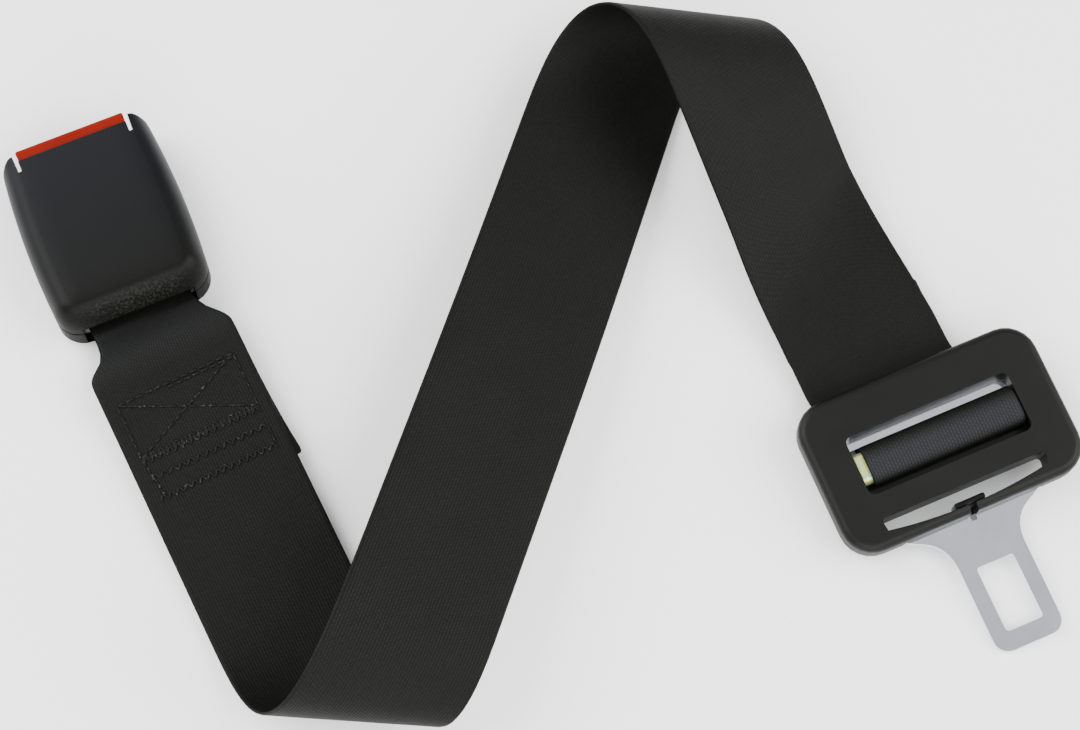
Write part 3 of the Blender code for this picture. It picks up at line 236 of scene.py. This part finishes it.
# The last ease is solved so that the tongue's lowest corner lies on the floor
def settleStrap(entry):
    turn = tongueTurn(0)
    down = -Vector((turn[2][0], turn[2][1], 0)).normalized()
    long, wide = tongue["cover"]
    corner, tip = tongue["corner"], tongue["tipCorner"]
    feet = [Vector((corner - long / 2, corner - wide / 2, 0)) + down * (corner - tongue["edge"]),
            Vector((tip - tongue["stem"], tongue["tip"] + tip, tongue["plateUnderside"])) + down * tip]
    height = max((turn @ (entry - foot)).z for foot in feet)
    angle = strap["ease"][2]
    end = Vector((strap["length"], 0, 0))
    nudge = 0.5
    for attempt in range(6):
        first, second = [(foldStrip(trial)[-1][3] @ end).z for trial in (angle, angle + nudge)]
        angle += (height - first) / (second - first) * nudge
    return foldStrip(angle)


def arcPoints(centre, radius, start, end, steps):
    turns = [math.radians(start + (end - start) * step / steps) for step in range(steps + 1)]
    return [(centre[0] + radius * math.cos(turn), centre[1] + radius * math.sin(turn)) for turn in turns]


# Over the lock bar and back out under the crossbar, as Y and Z in the tongue's frame
def tonguePath():
    t = tongue
    flat = (t["barWidth"] - t["barHeight"]) / 2
    front, back = t["barCentre"] + flat, t["barCentre"] - flat
    rise = front + t["rollRadius"]
    low = (rise + t["bend"], t["loadZ"] + t["bend"])
    path = [(low[0] + t["entryLength"] * (1 - step / 8), t["loadZ"]) for step in range(8)]
    path += arcPoints(low, t["bend"], 270, 180, 5)
    path += arcPoints((front, t["barZ"]), t["rollRadius"], 0, 90, 8)
    path += arcPoints((back, t["barZ"]), t["rollRadius"], 90, 270, 14)
    turn = (rise - strap["layer"] - t["bend"], t["barZ"] - t["rollRadius"] - t["bend"])
    path += arcPoints(turn, t["bend"], 90, 0, 5)
    path += arcPoints(low, t["bend"] + strap["layer"], 180, 270, 6)
    tailZ = t["loadZ"] - strap["layer"]
    for step in range(1, 8):
        share = step / 7
        path.append((low[0] + t["droopLength"] * share, tailZ - t["droop"] * easeShare(share)))
    tailZ -= t["droop"]
    end = low[0] + t["tail"]
    path += arcPoints((end, tailZ - strap["layer"] / 2), strap["layer"] / 2, 90, -90, 6)
    path.append((end - t["hem"] / 2, tailZ - strap["layer"]))
    path.append((end - t["hem"], tailZ - strap["layer"]))
    return low, path


# The gathered neck flares to full width, one edge later than the other
def edgesAt(along):
    edges = []
    for side, lag in ((-1, strap["flareLag"]), (1, 0.0)):
        share = easeShare((along - lag) / (strap["flare"] - lag))
        edges.append(side * (strap["neckWidth"] + (strap["width"] - strap["neckWidth"]) * share) / 2)
    return edges


def humpAt(along):
    if not 0 < along < strap["humpEnd"]:
        return 0.0
    return strap["hump"] * math.sin(math.pi * (along / strap["humpEnd"]) ** 0.7) ** 2


# Sections of the cloth: right edge, left edge and normal, from the sewn end to the hemmed tail
def strapSections():
    low, path = tonguePath()
    lead = tongue["entryLength"] + tongue["entryLead"]
    entry = Vector((tongue["entryShift"], low[0] + lead, tongue["loadZ"]))
    folded = settleStrap(entry)
    last = folded[-1][3]
    end = last @ Vector((strap["length"], 0, 0))
    along = last.to_3x3().col[0]
    heading = math.atan2(along.y, along.x) + math.pi / 2 + math.radians(tongue["skew"])
    tongueFrame = Matrix.Translation(end) @ tongueTurn(heading) @ Matrix.Translation(-entry)
    entryFrame = tongueFrame @ Matrix.Translation(entry)
    entryFrame = entryFrame @ Matrix.Rotation(-math.pi / 2 - math.radians(tongue["skew"]), 4, "Z")
    up = startFrame.to_3x3().col[2]
    rows = []
    count = strap["underRows"]
    for place in [strap["underLength"] * (1 - step / count) for step in range(count)]:
        shift = strap["underShift"] * (place / strap["underLength"]) ** 4
        right, left = edgesAt(place)
        drop = humpAt(place) - strap["layer"]
        rows.append((startFrame @ Vector((place, right + shift, drop)),
                     startFrame @ Vector((place, left + shift, drop)), -up))
    middle, bend = strap["anchorMiddle"], strap["anchorBend"]
    loop = [(strap["anchorBack"], middle - bend)]
    loop += arcPoints((strap["anchorFront"], middle), bend, -90, 90, 10)
    startY, startZ = strap["start"][1], strap["start"][2]
    for step in range(5):
        share = step / 5
        loop.append((strap["anchorBack"] + (startY - strap["anchorBack"]) * share,
                     middle + bend + (startZ - middle - bend) * easeShare(share)))

    def anchorShift(y):
        return strap["start"][0] * max((y - strap["anchorBack"]) / (startY - strap["anchorBack"]), 0)
    rows += pathRows(buckleFrame, loop, lambda y, z: strap["neckWidth"] / 2, anchorShift)
    count = strap["flareRows"]
    for place in [strap["flare"] * step / count for step in range(count + 1)] + strap["humpRows"]:
        right, left = edgesAt(place)
        lift = humpAt(place)
        rows.append((startFrame @ Vector((place, right, lift)), startFrame @ Vector((place, left, lift)), up))
    for place, slope, before, after in folded[1:]:
        ends = []
        for side in edgesAt(place):
            reach = place + slope * side
            share = easeShare((reach - strap["length"] + strap["settle"]) / strap["settle"])
            target = entryFrame @ Vector((reach - strap["length"], side, 0))
            ends.append((after @ Vector((reach, side, 0))).lerp(target, share))
        normal = (before.to_3x3().col[2] + after.to_3x3().col[2]).normalized()
        share = easeShare((place - strap["length"] + strap["settle"]) / strap["settle"])
        rows.append((*ends, normal.lerp(entryFrame.to_3x3().col[2], share)))

    def entryShift(y):
        share = easeShare((y - low[0]) / tongue["entryLength"])
        return tongue["rollShift"] + (tongue["entryShift"] - tongue["rollShift"]) * share

    def rollHalf(y, z):  # spreads a little more above the plate, where the slot has room
        share = easeShare((y - low[0]) / tongue["entryLength"])
        spread = tongue["rollSpread"] * easeShare((z - tongue["spreadFrom"]) / tongue["spreadOver"])
        return (tongue["rollWidth"] + (strap["width"] - tongue["rollWidth"]) * share) / 2 + spread
    rows += pathRows(tongueFrame, path, rollHalf, entryShift)
    return rows, tongueFrame


def pathRows(place, path, halfAt, shiftAt):
    rows = []
    for index, (y, z) in enumerate(path):
        before, after = path[max(index - 1, 0)], path[min(index + 1, len(path) - 1)]
        along = Vector((0, after[0] - before[0], after[1] - before[1])).normalized()
        normal = place.to_3x3() @ Vector((0, along.z, -along.y))
        shift, half = shiftAt(y), halfAt(y, z)
        rows.append((place @ Vector((shift - half, y, z)), place @ Vector((shift + half, y, z)), normal))
    return rows


def addPiece(name, mesh, materials, body="base"):
    data = bpy.data.meshes.new(name)
    mesh.to_mesh(data)
    mesh.free()
    piece = bpy.data.objects.new(name, data)
    bpy.context.scene.collection.objects.link(piece)
    for material in materials:
        data.materials.append(material)
    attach(piece, body)
    return piece


# Worn edges, angles in degrees
worn = {"merge": 0.000004, "flatWithin": 0.1, "sharpFrom": 60, "bevelFrom": 38, "width": 0.00025, "segments": 2}


# A merged copy of a CAD node stands for it, with soft worn edges
def dressCopy(name, made, material, body="base", width=worn["width"]):
    mesh = bmesh.new()
    mesh.from_mesh(nodes[name].data)
    bmesh.ops.remove_doubles(mesh, verts=mesh.verts, dist=worn["merge"])
    bmesh.ops.dissolve_limit(mesh, angle_limit=math.radians(worn["flatWithin"]),
                             verts=mesh.verts, edges=mesh.edges)
    piece = addPiece(made, mesh, [material], body)
    piece.data.shade_smooth()
    piece.data.set_sharp_from_angle(angle=math.radians(worn["sharpFrom"]))
    edge = piece.modifiers.new("edge", "BEVEL")
    edge.width = width
    edge.segments = worn["segments"]
    edge.limit_method = "ANGLE"
    edge.angle_limit = math.radians(worn["bevelFrom"])
    even = piece.modifiers.new("evenShading", "WEIGHTED_NORMAL")
    even.keep_sharp = True
    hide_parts(name)


# The woven band: a flat grid whose rows are laid along the sections
def buildWebbing(material):
    rows, tongueFrame = strapSections()
    columns = strap["columns"]
    mesh = bmesh.new()
    bmesh.ops.create_grid(mesh, x_segments=len(rows) - 1, y_segments=columns, size=0.5)
    uv = mesh.loops.layers.uv.new("weave")
    lengths = [0.0]
    for (right, left, _), (nextRight, nextLeft, _) in zip(rows, rows[1:]):
        lengths.append(lengths[-1] + ((nextRight + nextLeft) / 2 - (right + left) / 2).length)
    flat = {}
    for vert in mesh.verts:
        row = round((vert.co.x + 0.5) * (len(rows) - 1))
        share = vert.co.y + 0.5
        right, left, normal = rows[row]
        flat[vert] = (share * strap["width"], lengths[row])
        vert.co = right.lerp(left, share)
    for face in mesh.faces:
        for loop in face.loops:
            loop[uv].uv = flat[loop.vert]
    piece = addPiece("webbingBand", mesh, [material])
    thick = piece.modifiers.new("thickness", "SOLIDIFY")
    thick.thickness = strap["thickness"]
    thick.offset = 0
    soft = piece.modifiers.new("softness", "SUBSURF")
    soft.levels = 1
    soft.render_levels = 1
    piece.data.shade_smooth()
    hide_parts("webbing")
    crest = max(range(len(rows) - 60, len(rows)), key=lambda row: rows[row][0].z + rows[row][1].z)
    print("webbing: %.0f mm long, over the lock bar at %.1f" % (lengths[-1] * 1000, lengths[crest] * 1000))
    return piece, lengths[-1], tongueFrame


# Sewing on the strap: thread runs in the strap's flat frame, along and across, in metres
sewing = {
    "start": 0.0221, "length": 0.0185, "width": 0.0390, "rowPitch": 0.0070,
    "stitch": 0.0030, "thread": 0.00042, "swing": 0.0021, "zigzags": 15, "lift": 0.00072,
    "doubleGap": 0.0012, "doubleInset": 0.016, "lean": 0.002, "from": 0.12, "to": 0.88, "overrun": 0.6,
    "zigzagRows": [(0, 15), (0.16, 15), (1, 13), (2, 15)], "tailWidth": 0.042,
}


def addStitch(mesh, start, end, radius):
    run = end - start
    turn = Vector((1, 0, 0)).rotation_difference(run).to_matrix().to_4x4()
    size = Matrix.Diagonal((run.length / 2 + radius * sewing["overrun"], radius, radius, 1))
    bmesh.ops.create_icosphere(mesh, subdivisions=2, radius=1.0,
                               matrix=Matrix.Translation((start + end) / 2) @ turn @ size)


def buildSewing(material, tongueFrame, hemPlace):
    s = sewing
    near, far, half = s["start"], s["start"] + s["length"], s["width"] / 2
    second, middle, last = near + s["doubleGap"], far + s["rowPitch"], far + 2 * s["rowPitch"]
    runs = [[(near, -half), (near, half)], [(second, -half + s["doubleInset"]), (second, half)],
            [(near, -half), (far, -half)], [(near, half), (far, half)],
            [(near, -half), (far, half)], [(near, half), (far, -half)],
            [(far, -half), (last, -half + s["lean"])], [(middle, half), (last, half)]]
    mesh = bmesh.new()

    def laid(along, across, lift):
        return startFrame @ Vector((along, across, lift + humpAt(along)))
    for (x0, y0), (x1, y1) in runs:
        count = max(round(math.hypot(x1 - x0, y1 - y0) / s["stitch"]), 1)
        for step in range(count):
            a, b = (step + s["from"]) / count, (step + s["to"]) / count
            addStitch(mesh, laid(x0 + (x1 - x0) * a, y0 + (y1 - y0) * a, s["lift"]),
                      laid(x0 + (x1 - x0) * b, y0 + (y1 - y0) * b, s["lift"]), s["thread"])
    for row, zigzags in s["zigzagRows"]:
        place = far + row * s["rowPitch"]
        count = zigzags * 2
        for step in range(count):
            y0 = -half + s["width"] * step / count
            y1 = -half + s["width"] * (step + 1) / count
            side = s["swing"] / 2 * (1 if step % 2 else -1)
            addStitch(mesh, laid(place - side, y0, s["lift"]), laid(place + side, y1, s["lift"]), s["thread"])
    piece = addPiece("boxSewing", mesh, [material])
    piece.data.shade_smooth()
    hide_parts("box_stitching")

    mesh = bmesh.new()
    y, z = hemPlace
    count = s["zigzags"] * 2
    for step in range(count):
        x0 = -s["tailWidth"] / 2 + s["tailWidth"] * step / count + tongue["entryShift"]
        x1 = x0 + s["tailWidth"] / count
        side = s["swing"] / 2 * (1 if step % 2 else -1)
        addStitch(mesh, tongueFrame @ Vector((x0, y - side, z)),
                  tongueFrame @ Vector((x1, y + side, z)), s["thread"])
    tail = addPiece("tailSewing", mesh, [material])
    tail.data.shade_smooth()
    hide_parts("tail_stitching")
    return piece, tail


# Finishes
# Weave pitches and colours; the lighter bluish colour is a painted sheen
weave = {"rib": 0.00092, "pick": 0.00120,
         "dark": rgb(0.0014, 0.0016, 0.0011), "light": rgb(0.0068, 0.0073, 0.0056),
         "paintedSheen": rgb(0.0150, 0.0165, 0.0180)}
# Painted sheen spots along the cut length, for the lit neck and the lit lower half of the roll: place, reach
# and strength
sheenSpots = {"neck": (0.0925, 0.012, 0.35), "roll": (0.6830, 0.0052, 1.5)}


def webbingFinish():
    finish = Finish("webbingWeave")
    place = finish.out("ShaderNodeUVMap", {"uv_map": "weave"})
    across, along, _ = finish.split(place)
    rib = across / weave["rib"]
    cell = rib.calc("FLOOR")
    pick = along / weave["pick"] + cell * 0.5
    bulge = (rib.calc("FRACT") * math.pi).calc("SINE")
    bead = (pick.calc("FRACT") * math.pi).calc("SINE")
    height = bulge * (bead * 0.65 + 0.35)
    patches = finish.noise(place, 45.0, 3.0, 0.6)
    fine = finish.noise(place, 900.0, 2.0, 0.6)
    share = height * 0.6 + (patches - 0.5) * 0.4 + (fine - 0.5) * 0.9
    colour = finish.mixColour(share, weave["dark"], weave["light"])
    # Painted sheen: a lighter bluish colour where light catches the neck and the roll, which also deepens the
    # weave bump there
    paintedSheen = 0.0
    for spot, reach, strength in sheenSpots.values():
        away = (along - spot).calc("ABSOLUTE")
        paintedSheen = finish.ramp(away, reach, reach * 0.3, 0.0, strength) + paintedSheen
    colour = finish.mixColour(paintedSheen * (height * 0.7 + 0.2), colour, weave["paintedSheen"])
    wavy = finish.noise(place, 120.0, 2.0, 0.5)
    soft = finish.bump(wavy, 0.25, 0.0006)
    normal = finish.bump(height * (paintedSheen * 0.5 + 0.55) + fine * 0.4, 0.6, 0.00022, soft)
    return finish.set(colour=colour, roughness=0.66 - height * 0.14, normal=normal, specular=0.09)


def threadFinish():
    finish = Finish("sewingThread")
    place = finish.objectPlace()
    twist = finish.noise(place, 1800.0, 2.0, 0.6)
    # Painted highlights: light specks on the dark thread
    glintSpecks = finish.ramp(finish.noise(place, 900.0, 1.0, 0.5), 0.60, 0.72)
    base = finish.mixColour(twist, rgb(0.0004, 0.0004, 0.0004), rgb(0.003, 0.003, 0.003))
    colour = finish.mixColour(glintSpecks, base, rgb(0.028, 0.028, 0.026))
    return finish.set(colour=colour, roughness=0.6, normal=finish.bump(twist, 0.4, 0.0001), specular=0.15)


# Moulded plastic: fine spark grain, with handled patches a little smoother
def plasticFinish(name, dark, light, roughness, grain):
    finish = Finish(name)
    place = finish.objectPlace()
    sparks = finish.noise(place, 2600.0, 2.0, 0.6)
    broad = finish.noise(place, 38.0, 3.0, 0.55)
    colour = finish.mixColour(broad, dark, light)
    rough = roughness + (broad - 0.5) * 0.12 + (sparks - 0.5) * 0.1
    normal = finish.bump(sparks, grain, 0.00006)
    return finish.set(colour=colour, roughness=rough, normal=normal, specular=0.15)


# Buckle shell: painted light and shade, bluish and lighter towards the mouth and near black towards the strap,
# with a painted grainy highlight along the exit edge
shell = {
    "mouth": rgb(0.0030, 0.0033, 0.0048), "exit": rgb(0.0011, 0.0013, 0.0008),
    "paintedSheen": rgb(0.0135, 0.0140, 0.0100),
    "reach": 0.026, "edgeStart": -0.0262, "edgeEnd": -0.0290, "grain": 1900.0, "glintSpecks": 1300.0,
}


def shellFinish():
    finish = Finish("shellPlastic")
    place = finish.objectPlace()
    x, y, _ = finish.split(place)
    turn = math.radians(strap["buckleTurn"])
    centreX, centreY = strap["buckle"][0], strap["buckle"][1]
    along = (y - centreY) * math.cos(turn) - (x - centreX) * math.sin(turn)
    across = (x - centreX) * math.cos(turn) + (y - centreY) * math.sin(turn)
    broad = finish.noise(place, 42.0, 3.0, 0.55)
    # Painted light and shade: lighter and bluish towards the mouth, near black towards the strap
    share = finish.ramp(along + (broad - 0.5) * 0.012, -shell["reach"], shell["reach"])
    base = finish.mixColour(share, shell["exit"], shell["mouth"])
    sparks = finish.noise(place, shell["grain"], 2.0, 0.6)
    glintSpecks = finish.ramp(finish.noise(place, shell["glintSpecks"], 2.0, 0.7), 0.46, 0.66)
    # Painted highlight: grainy light specks in a band along the exit edge, fading towards the sides; the band
    # also roughens and bumps the edge
    band = finish.ramp(along, shell["edgeStart"], shell["edgeEnd"])
    sides = finish.ramp(across.calc("ABSOLUTE"), 0.020, 0.012)
    paintedSheen = band * sides * glintSpecks
    colour = finish.mixColour(paintedSheen, base, shell["paintedSheen"])
    rough = 0.47 + (broad - 0.5) * 0.1 + band * 0.15
    grain = finish.bump(sparks, 0.3, 0.00006)
    return finish.set(colour=colour, roughness=rough, normal=finish.bump(glintSpecks * band, 0.35, 0.0001, grain),
                      specular=0.11)


def chromeFinish():
    finish = Finish("polishedChrome")
    place = finish.objectPlace()
    haze = finish.noise(place, 60.0, 3.0, 0.6)
    wave = finish.noise(place, 24.0, 1.0, 0.4)
    colour = finish.mixColour(haze * 1.6 - 0.3, rgb(0.78, 0.82, 0.96), rgb(0.96, 0.98, 1.0))
    return finish.set(colour=colour, metallic=1.0, roughness=0.05 + haze * 0.08,
                      normal=finish.bump(wave, 0.08, 0.0008))


def zincFinish():
    finish = Finish("yellowZinc")
    place = finish.objectPlace()
    film = finish.noise(place, 260.0, 2.0, 0.6)
    node = finish.node("ShaderNodeValToRGB", {"stops": [
        (0.36, rgb(0.68, 0.62, 0.10)), (0.47, rgb(0.50, 0.68, 0.28)), (0.56, rgb(0.28, 0.55, 0.47)),
        (0.66, rgb(0.72, 0.60, 0.14))]}, {0: film})
    colour = Sock(finish, node.outputs[0])
    return finish.set(colour=colour, metallic=0.7, roughness=0.35, normal=finish.bump(film, 0.15, 0.0003))


def steelFinish(name, colour, roughness):
    finish = Finish(name)
    place = finish.objectPlace()
    grain = finish.noise(place, 420.0, 3.0, 0.6)
    return finish.set(colour=finish.mixColour(grain, colour, rgb(0.34, 0.35, 0.37)), metallic=1.0,
                      roughness=roughness + grain * 0.15, normal=finish.bump(grain, 0.1, 0.0001))


def buttonFinish():
    finish = Finish("buttonRed")
    place = finish.objectPlace()
    broad = finish.noise(place, 60.0, 2.0, 0.5)
    sparks = finish.noise(place, 2200.0, 2.0, 0.5)
    colour = finish.mixColour(broad, rgb(0.120, 0.0026, 0.0001), rgb(0.190, 0.0060, 0.0001))
    return finish.set(colour=colour, roughness=0.42 + (sparks - 0.5) * 0.1,
                      normal=finish.bump(sparks, 0.2, 0.00005), specular=0.07)


def dressNode(name, material):
    node = nodes[name]
    node.data.materials.clear()
    node.data.materials.append(material)


# Springs, with the piece they push and their travel in metres; here they only get the wire finish and a mesh of
# their own
springs = {
    "button_spring_left": ("button_press", 0.005), "button_spring_right": ("button_press", 0.005),
    "lock_spring": ("button_press", 0.005), "ejector_spring": ("ejector_slide", 0.009),
}


def dressSpring(name):
    dressNode(name, wire)
    spring = nodes[name]
    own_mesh(spring)


print("finishes")
webbingWeave = webbingFinish()
thread = threadFinish()
shellBlack = shellFinish()
tongueBlack = plasticFinish("tonguePlastic", rgb(0.0018, 0.0018, 0.0013), rgb(0.0034, 0.0034, 0.0026),
                            roughness=0.46, grain=0.30)
clipBlack = plasticFinish("clipPlastic", rgb(0.0010, 0.0010, 0.0010), rgb(0.0025, 0.0025, 0.0025),
                          roughness=0.30, grain=0.10)
innerPlastic = plasticFinish("innerPlastic", rgb(0.62, 0.62, 0.60), rgb(0.72, 0.72, 0.70),
                             roughness=0.45, grain=0.15)
buttonRed = buttonFinish()
chrome = chromeFinish()
zinc = zincFinish()
steel = steelFinish("stampedSteel", rgb(0.20, 0.21, 0.22), 0.38)
wire = steelFinish("springWire", rgb(0.40, 0.41, 0.43), 0.24)

dressCopy("front_cover", "frontShell", shellBlack)
dressCopy("rear_cover", "rearShell", shellBlack)
dressCopy("press_button", "pressButton", buttonRed, "button")
for name in ("base_frame", "latch", "latch_pin", "lock_pin"):
    dressNode(name, steel)
for name in ("lock_slider", "ejector"):
    dressNode(name, innerPlastic)
for name, (joint, travel) in springs.items():
    dressSpring(name)
dressCopy("tongue_cover", "tongueMoulding", tongueBlack)
dressCopy("tongue_plate", "chromedPlate", chrome, width=0.0004)
dressCopy("arm_collar", "armClip", clipBlack, width=0.0001)
dressCopy("lock_bar", "lockBar", zinc)

print("webbing and sewing")
webbing, clothLength, tongueFrame = buildWebbing(webbingWeave)
hemY = tonguePath()[0][0] + tongue["tail"] - tongue["hem"] / 2
hemZ = tongue["loadZ"] - 2 * strap["layer"] - tongue["droop"] - sewing["lift"]
boxSewing, tailSewing = buildSewing(thread, tongueFrame, (hemY, hemZ))

# Camera, floor and light
view = {"elevation": 69.45, "distance": 0.7985, "lens": 85.2, "target": (0.00293, 0.00225, 0.0),
        "sensor": 36.0, "near": 0.01, "floor": 6.0, "floorGap": 0.0004, "world": 0.75}
lights = [
    {"name": "keyLight", "place": (-1.6, 0.5, 1.5), "size": 2.4, "power": 120.0, "colour": (1.0, 1.0, 1.0)},
    {"name": "fillLight", "place": (1.7, -0.2, 1.4), "size": 2.2, "power": 105.0, "colour": (0.98, 0.99, 1.0)},
    {"name": "lowLight", "place": (0.1, -1.7, 1.1), "size": 1.8, "power": 60.0, "colour": (1.0, 0.99, 0.98)},
]


def buildStage():
    lean = math.radians(view["elevation"])
    camera = bpy.data.objects.new("camera", bpy.data.cameras.new("camera"))
    bpy.context.scene.collection.objects.link(camera)
    camera.data.sensor_width = view["sensor"]
    camera.data.lens = view["lens"]
    camera.data.clip_start = view["near"]
    target = Vector(view["target"])
    camera.location = target + Vector((0, -math.cos(lean), math.sin(lean))) * view["distance"]
    camera.rotation_euler = (math.pi / 2 - lean, 0, 0)
    bpy.context.scene.camera = camera

    mesh = bmesh.new()
    bmesh.ops.create_grid(mesh, x_segments=1, y_segments=1, size=view["floor"] / 2)
    data = bpy.data.meshes.new("floor")
    mesh.to_mesh(data)
    mesh.free()
    floor = bpy.data.objects.new("floor", data)
    bpy.context.scene.collection.objects.link(floor)
    floor.location.z = cadBox[0].z - view["floorGap"]
    pale = Finish("paleFloor")
    pale.set(colour=rgb(0.9, 0.9, 0.9), roughness=0.8, specular=0.1)
    data.materials.append(pale.material)

    world = bpy.data.worlds.new("studio")
    bpy.context.scene.world = world
    world.use_nodes = True
    background = world.node_tree.nodes["Background"]
    background.inputs["Color"].default_value = rgb(1.0, 1.0, 1.0)
    background.inputs["Strength"].default_value = view["world"]
    for made in lights:
        lamp = bpy.data.lights.new(made["name"], "AREA")
        lamp.shape = "SQUARE"
        lamp.size = made["size"]
        lamp.energy = made["power"]
        lamp.color = made["colour"]
        light = bpy.data.objects.new(made["name"], lamp)
        bpy.context.scene.collection.objects.link(light)
        light.location = made["place"]
        light.rotation_euler = (-Vector(made["place"])).to_track_quat("-Z", "Y").to_euler()


print("stage")
buildStage()
